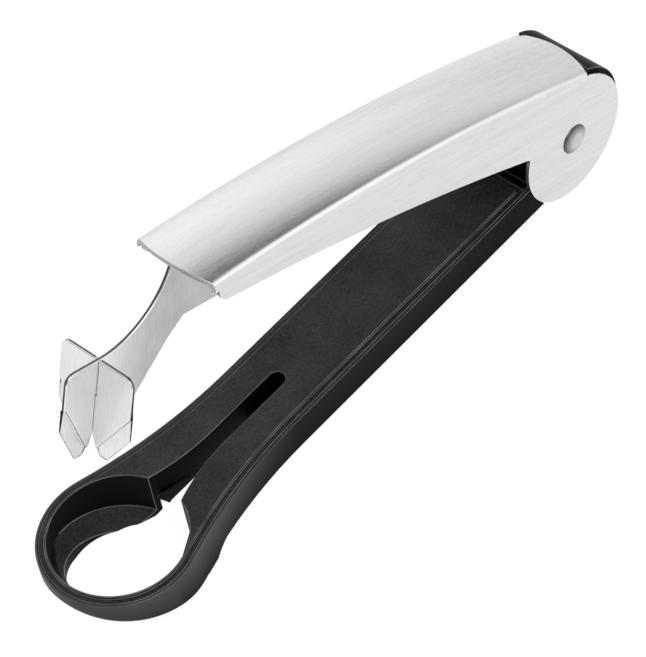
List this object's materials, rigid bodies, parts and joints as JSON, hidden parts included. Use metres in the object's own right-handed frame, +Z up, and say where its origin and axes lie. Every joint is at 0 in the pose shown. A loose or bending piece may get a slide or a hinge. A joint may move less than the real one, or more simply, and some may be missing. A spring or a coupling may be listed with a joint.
{
  "type": "plum pitter",
  "caption": "Hand-held lever plum pitter: moulded lower arm with cup and slotted tray, hinged sheet handle, and a cross-shaped cutter on a stem plate.",
  "frame": {"origin": "Middle of the bounding box in X and Y, on the plane the tool rests on", "axes": "X from the cup at -X to the hinge at +X, Y along the hinge axis, Z up"},
  "size_m": [0.2148, 0.044, 0.0928],
  "materials": {
    "black_plastic": "satin moulded outer wall",
    "tray_plastic": "fine grained matte",
    "handle_steel": "lengthwise brushed stainless sheet",
    "blade_steel": "fine brushed stainless plate with ground edges",
    "pin_steel": "polished",
    "spring_steel": "drawn wire"
  },
  "bodies": {
    "arm": {"base_shell": "black_plastic", "tray_liner": "tray_plastic", "torsion_spring": "spring_steel"},
    "handle": {"handle_shell": "handle_steel", "stem_plate": "blade_steel", "cross_blade": "blade_steel", "pivot_sleeve": "pin_steel", "hinge_rivet": "pin_steel"}
  },
  "joints": [
    {"name": "handle_hinge", "type": "hinge", "parent": "arm", "child": "handle", "pos_m": [0.08658, 0, 0.0196], "axis": [0, -1, 0], "range_deg": [0, 26.5], "stiffness_Nm_per_rad": 0.4, "springref_deg": -34.38, "deforming": ["torsion_spring"]}
  ]
}
